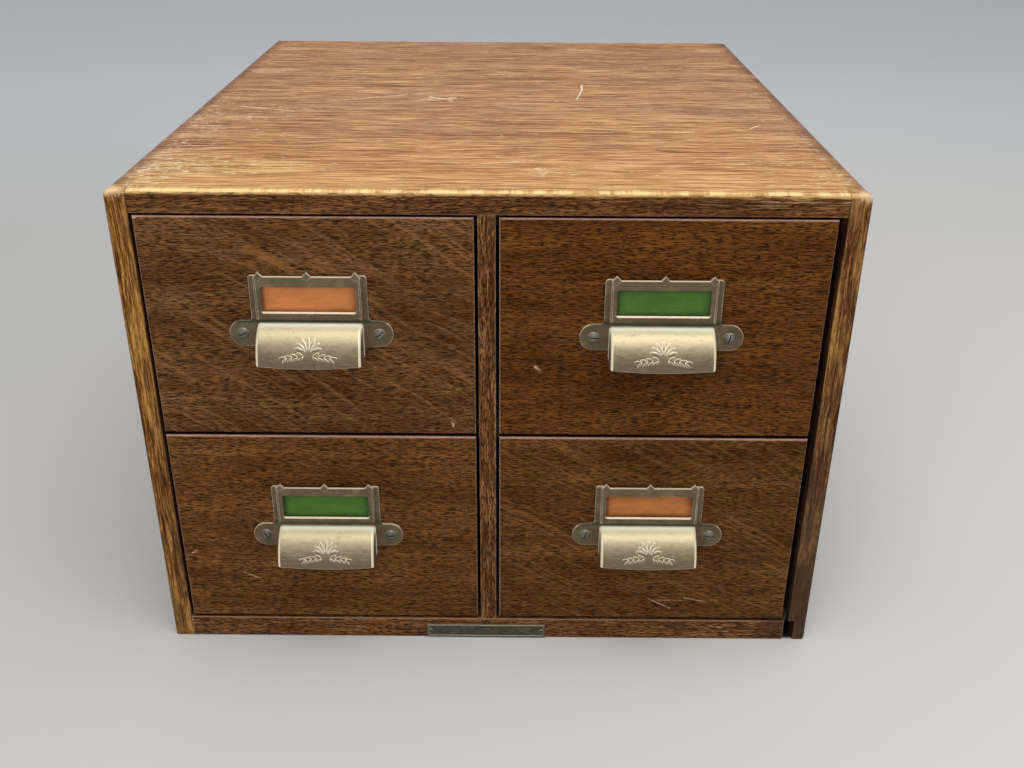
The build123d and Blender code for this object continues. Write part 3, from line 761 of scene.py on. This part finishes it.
def hood_shell(r, smear, root):
    """The hood's colour: pale rubbed metal, with painted highlight along its crown, its root and its rounded
    ends.
    """
    x, y, z = r.xyz
    nx, _, nz = facing(r)
    scratched = r.noise(join(r, x / 11, y / 0.35, z / 0.35), 2.0, 0.6).step(0.6, 0.72)
    # Painted light and shade: the hood is lighter where it faces up and darker below.
    crown = (nz * 1.25 + (smear - 0.5) * 0.9).step(0.15, 1.25)
    shell = r.mix(crown, HOOD_SHADE, HOOD_LIT_CROWN)
    shell = r.mix(smear.step(0.5, 0.72) * 0.4, shell, HOOD_STAIN)
    shell = r.mix(scratched * 0.25, shell, HOOD_SCRATCH)
    # Painted highlight along the root, which the frame above would otherwise leave in shade.
    shell = r.mix((root * (0.9 + smear * 0.5)).least(1), shell, HOOD_ROOT_HIGHLIGHT)
    # Painted highlight on the rounded ends.
    turned = abs(nx).step(0.10, 0.35) * (1 - abs(nx).step(0.75, 0.95))
    shell = r.mix(turned * 0.9, shell, HOOD_END_HIGHLIGHT)
    return r.mix(r.edge * 0.8, shell, HOOD_EDGE)


def pull_bronze():
    """Brown plate and frame, lighter towards the top, with painted highlight on faces that point up, painted
    shade in the line above the hood, and a rubbed hood.
    """
    r = metal("old_bronze", 0.0, **PULL)
    x, y, z = r.xyz
    line = LOWER_LINE + (z - ROW_SPLIT).sum("GREATER_THAN", 0.0) * (UPPER_LINE - LOWER_LINE)
    hood = (1 - (z - line).step(7.2, 7.8)) * (Y0 - y).step(1.22, 1.6)
    smear = r.noise(join(r, x / 5, y / 2.5, z / 2.5), 5.0, 0.7)
    root = 1 - (Y0 - y).step(2.0, 8.0)
    # The frame is painted lighter towards its top.
    r.paint((z - line).step(9, 34) * 0.15, r.mix(smear, FRAME_UPPER_DIM, FRAME_UPPER_PALE))
    # Painted highlight on faces that point up: the upper edges of the frame and ears and the window's lower
    # bevel.
    upward_lit = facing(r)[2].step(0.35, 0.8) * (0.5 + smear * 0.7)
    r.paint(upward_lit.least(1) * 0.85, UPWARD_HIGHLIGHT)
    # Painted shade in the dark line between the frame's foot and the hood.
    r.paint((1 - abs(z - line - 8.2).step(0.5, 1.9)) * 0.75, POCKET_SHADE)
    r.paint(hood, hood_shell(r, smear, root))
    bright = (hood * (1 - root * 0.9)).most(r.edge)
    bump = r.bump(0.35, METAL_RELIEF, r.speck + smear * 2)
    rough = 0.55 - bright * 0.10 + (smear - 0.5) * 0.25
    return r.finish(Base_Color=r.colour, Roughness=rough, Normal=bump, Metallic=0.12 + bright * 0.42)


bronze = pull_bronze()
print("pull bronze, hoods below z", LOWER_LINE, "and", UPPER_LINE, "mm")

# %% [markdown]
# The screws, the nameplate and its border are small pieces of duller metal. They start
# from the same skin in other tones. A screw's slot is real in the CAD, but light falls
# into it, so painted shade darkens it as well: it is found by its walls, which face
# sideways, and by its depth. The studs and the pulls share the bronze made above.

# %% Small fittings
SCREW = dict(skin=(0.115, 0.100, 0.078), rubbed=(0.26, 0.23, 0.185), bright=(0.62, 0.57, 0.48))
PLATE = dict(skin=(0.040, 0.034, 0.021), rubbed=(0.085, 0.070, 0.044), bright=(0.24, 0.20, 0.13))
BEAD = dict(skin=(0.100, 0.085, 0.054), rubbed=(0.17, 0.14, 0.09), bright=(0.42, 0.35, 0.24))
PLATE_RUBS, SLOT_SHADE = (0.165, 0.140, 0.092), (0.006, 0.005, 0.004)


def dulled(r, metallic):
    """The last step of every small fitting."""
    rough = 0.45 + (r.cloud - 0.5) * 0.3
    bump = r.bump(0.4, METAL_RELIEF, r.speck)
    return r.finish(Base_Color=r.colour, Roughness=rough, Normal=bump, Metallic=metallic)


def screw_metal():
    r = metal("screw_metal", 8.0, wear=0.3, **SCREW)
    out = Y0 - r.xyz[1]
    ny = facing(r)[1]
    wall = 1 - abs(ny).step(0.05, 0.3)
    bed = (0 - ny).step(0.97, 0.995) * (1 - out.step(2.35, 2.6))
    slot = wall.most(bed) * out.step(1.3, 1.6)
    # Painted shade in the slot.
    r.paint(slot * 0.96, SLOT_SHADE)
    return dulled(r, 0.35 - slot * 0.35)


def plate_bronze():
    r = metal("nameplate_bronze", 4.0, **PLATE)
    x, y, z = r.xyz
    rubs = r.noise(join(r, x / 3.2, y, z / 0.7), 4.0, 0.75).step(0.46, 0.66)
    r.paint(rubs * 0.6, PLATE_RUBS)
    return dulled(r, 0.3)


plate_metal = plate_bronze()
bead_metal = dulled(metal("border_bronze", 6.0, **BEAD), 0.3)
screws = screw_metal()
for name in nodes:
    if name.endswith(("_pull", "_stud")):
        dress(name, bronze)
    elif name.endswith(("_screws", "brads")):
        dress(name, screws)
    elif name.startswith("nameplate"):
        dress(name, plate_metal)
print("bronze", count(bronze), "screws and brads", count(screws), "nameplate", count(plate_metal))

# %% [markdown]
# The label cards are coloured paper behind the windows, faded a little and grimy round
# the edge, with a painted shadow of the window frame along their top and left edges. One
# even colour would look like plastic, so two noises give fibres and fading. The grime and
# the painted shadow follow the card's own edges, which the Generated coordinates give as 0
# and 1 whatever the size of the card.

# %% Label cards
ORANGE, AMBER, GREEN = (0.56, 0.19, 0.050), (0.46, 0.155, 0.034), (0.055, 0.145, 0.012)
CARDS = {"ul": (ORANGE, 0.8, 1), "lr": (AMBER, 0.62, 5), "ur": (GREEN, 0.7, 9), "ll": (GREEN, 0.75, 13)}


def card_paper(name, tone, shade, seed):
    r = Recipe(name)
    x, y, z = split(r, place_mm(r))
    across, _, up = split(r, r.add("ShaderNodeTexCoord", {}, {}, "Generated"))
    fibre = r.noise(join(r, x / 0.7, y / 0.7, z / 1.1), 4.0, 0.7)
    fade = r.noise(join(r, x / 16 + seed, y / 14, z / 6), 3.0, 0.6)
    edge = abs(across - 0.5).step(0.36, 0.50).most(abs(up - 0.48).step(0.24, 0.42))
    r.colour = r.mix(fade.step(0.35, 0.65) * 0.75, tone, shade)
    r.paint(fibre.step(0.52, 0.75) * 0.25, times(tone, 1.5))
    # Painted shadow: the window frame's shade along the card's top and left edges.
    clear_of_frame_shadow = (across - 0.05).step(0.0, 0.035).least((0.93 - up).step(-0.02, 0.16))
    r.paint((edge * (fade + 0.35)).least(1).most(1 - clear_of_frame_shadow) * 0.75, times(shade, 0.45))
    bump = r.bump(0.3, 0.0001, fibre)
    return r.finish(Base_Color=r.colour, Roughness=0.62 + fibre * 0.2, Normal=bump)


for drawer, (tone, fading, seed) in CARDS.items():
    dress(drawer + "_label_card", card_paper(drawer + "_paper", tone, times(tone, fading), seed))
print("cards", list(CARDS))

# %% [markdown]
# Each hood carries a small ornament in low relief. A bump could fake it, but its edges
# would not catch the light. So a plain fan of leaves over two sprays is modelled here.
# One leaf is a little cushion laid on the curve of the hood, so its edge follows the metal
# wherever the hood bends, and its root is sunk into the metal so that no gap shows.

# %% A leaf on the hood
HOOD_BACK, HOOD_LOW, HOOD_OUT, HOOD_UP = 1.2, -15.3, 16.3, 21.7
HOOD_TURN = 19.0
RELIEF, SUNK = 0.22, 0.3
ROWS, LANES = 8, 6


def on_hood(across, down):
    """A place and direction on the hood: millimetres across it and down from its crown line."""
    turn = down / HOOD_TURN
    place = Vector((across, -HOOD_BACK - HOOD_OUT * math.sin(turn), HOOD_LOW + HOOD_UP * math.cos(turn)))
    out = Vector((0, -math.sin(turn) / HOOD_OUT, math.cos(turn) / HOOD_UP)).normalized()
    return place, out


def leaf(mesh, across, down, heading, length, width):
    """One leaf, from its stem along a heading given in degrees, 0 up the hood."""
    turn = math.radians(heading)
    ahead = Vector((math.sin(turn), -math.cos(turn)))
    beside = Vector((ahead.y, -ahead.x))
    crown, root = {}, {}
    for i in range(ROWS + 1):
        t = i / ROWS
        half = 0.5 * width * math.sin(math.pi * min(1, t * 0.92 + 0.05)) ** 0.75
        for j in range(LANES + 1):
            c = 2 * j / LANES - 1
            flat = Vector((across, down)) + ahead * (t * length) + beside * (c * half)
            place, out = on_hood(flat.x, flat.y)
            rise = RELIEF * (1 - c * c) * math.sin(math.pi * min(1, t + 0.02)) ** 0.5 - 0.04
            crown[i, j] = mesh.verts.new(place + out * rise)
            root[i, j] = mesh.verts.new(place - out * SUNK)
    for skin in (crown, root):
        for i in range(ROWS):
            for j in range(LANES):
                mesh.faces.new((skin[i, j], skin[i, j + 1], skin[i + 1, j + 1], skin[i + 1, j]))
    rim = [(0, j) for j in range(LANES)] + [(i, LANES) for i in range(ROWS)]
    rim += [(ROWS, j) for j in range(LANES, 0, -1)] + [(i, 0) for i in range(ROWS, 0, -1)]
    for a, b in zip(rim, rim[1:] + rim[:1]):
        mesh.faces.new((crown[a], crown[b], root[b], root[a]))


print("leaf of", ROWS, "by", LANES, "faces, raised", RELIEF, "mm")

# %% [markdown]
# Now the leaves are set out: seven in a fan, and a spray of eight on each side. They
# could be separate objects, but a stamped ornament is one piece, so the leaves of a pull
# are one mesh, which rides with its drawer. It is placed from the top of the pull's own
# box, because the four pulls sit at slightly different heights on their drawers.

# %% Leaves on the hoods
FRAME_TOP, FINIAL = 33.6, 2.6


def add_piece(name, mesh, material, smooth):
    """Make a finished mesh into an object of the scene."""
    bmesh.ops.recalc_face_normals(mesh, faces=mesh.faces)
    data = bpy.data.meshes.new(name)
    mesh.to_mesh(data)
    mesh.free()
    for face in data.polygons:
        face.use_smooth = smooth
    data.materials.append(material)
    thing = bpy.data.objects.new(name, data)
    bpy.context.scene.collection.objects.link(thing)
    print("added", name, len(data.polygons), "faces")
    return thing


def relief(drawer):
    """The ornament of one pull, where that pull is."""
    mesh = bmesh.new()
    for i in range(-3, 4):
        leaf(mesh, i * 0.5, 19.5, heading=i * 26, length=8.6 - abs(i) * 0.75, width=2.5)
    for hand in (-1, 1):
        for i in range(4):
            stem = hand * (2.4 + i * 3.0)
            leaf(mesh, stem, 22.3 + 0.25 * i, heading=hand * (62 + i * 9), length=4.4, width=1.7)
            leaf(mesh, stem, 22.6 + 0.25 * i, heading=hand * (118 + i * 4), length=3.6, width=1.5)
    low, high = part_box(drawer + "_pull")
    foot = high.z - (FRAME_TOP + FINIAL) * MM
    mesh.transform(Matrix.Translation(((low.x + high.x) / 2, -HALF_DEPTH, foot)) @ Matrix.Scale(MM, 4))
    thing = add_piece(drawer + "_leaf_relief", mesh, bronze, smooth=True)
    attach(thing, "drawer_" + drawer)


for drawer in fronts:
    relief(drawer)

# %% [markdown]
# The nameplate is left bare. Like most stamped plates it has a thin raised border, a
# rounded bead just inside its edge. A bevelled curve could draw it, but a curve needs care
# at sharp corners. Here a half-round section is set at each corner, leaning outwards, and
# the four are joined, so the mitres come out by themselves and the mesh is closed.

# %% Border of the nameplate
BEAD_STEPS = 6
BEAD_SUNK = 0.00005
BEAD_FLATNESS = 0.7


def bead_border(node, inset, radius, body):
    """A half-round bead round the front face of a plate."""
    low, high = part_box(node)
    face = low.y
    left_x, right_x, low_z, high_z = low.x + inset, high.x - inset, low.z + inset, high.z - inset
    corners = [(left_x, low_z, -1, -1), (right_x, low_z, 1, -1)]
    corners += [(right_x, high_z, 1, 1), (left_x, high_z, -1, 1)]
    mesh = bmesh.new()
    rings = []
    for x, z, ox, oz in corners:
        ring = []
        for i in range(BEAD_STEPS + 1):
            turn = math.pi * i / BEAD_STEPS
            out = radius * math.cos(turn)
            y = face + BEAD_SUNK - radius * BEAD_FLATNESS * math.sin(turn)
            ring.append(mesh.verts.new((x + ox * out, y, z + oz * out)))
        rings.append(ring)
    for first, second in zip(rings, rings[1:] + rings[:1]):
        for i in range(BEAD_STEPS + 1):
            j = (i + 1) % (BEAD_STEPS + 1)
            mesh.faces.new((first[i], second[i], second[j], first[j]))
    thing = add_piece(node + "_border", mesh, bead_metal, smooth=False)
    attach(thing, body)


bead_border("nameplate", 0.0009, 0.0005, "case")

# %% [markdown]
# The stage is one wide pale floor, painted a little darker on the left and lighter on the
# right as painted light. A backdrop that curves up behind would do as well, but this camera
# looks down, so a flat floor fills the whole background. It takes the cabinet's soft
# shadow, and it is dark under the case, where no light comes.

# %% Floor
FLOOR_CORNERS = [(-9, -6, 0), (9, -6, 0), (9, 12, 0), (-9, 12, 0)]
FLOOR_LEFT, FLOOR_RIGHT, FLOOR_FAR = (0.53, 0.525, 0.50), (0.66, 0.64, 0.60), (0.74, 0.75, 0.76)
UNDER_CASE = (0.01, 0.01, 0.01)
floor_mesh = bpy.data.meshes.new("floor")
floor_mesh.from_pydata(FLOOR_CORNERS, [], [(0, 1, 2, 3)])
floor = bpy.data.objects.new("floor", floor_mesh)
bpy.context.scene.collection.objects.link(floor)
ground = Recipe("pale_floor")
sheet_x, sheet_y, _ = split(ground, place_mm(ground))
# Painted light: the floor is darker on the left and lighter on the right.
ground.colour = ground.mix(sheet_x.step(-600, 600), FLOOR_LEFT, FLOOR_RIGHT)
ground.paint(sheet_y.step(100, 1600), FLOOR_FAR)
ground.paint((1 - abs(sheet_x).step(192, 197)) * (1 - abs(sheet_y).step(222, 225)), UNDER_CASE)
floor_mesh.materials.append(ground.finish(Base_Color=ground.colour, Roughness=0.9, Specular_IOR_Level=0.2))
print("floor from", FLOOR_CORNERS[0], "to", FLOOR_CORNERS[2])
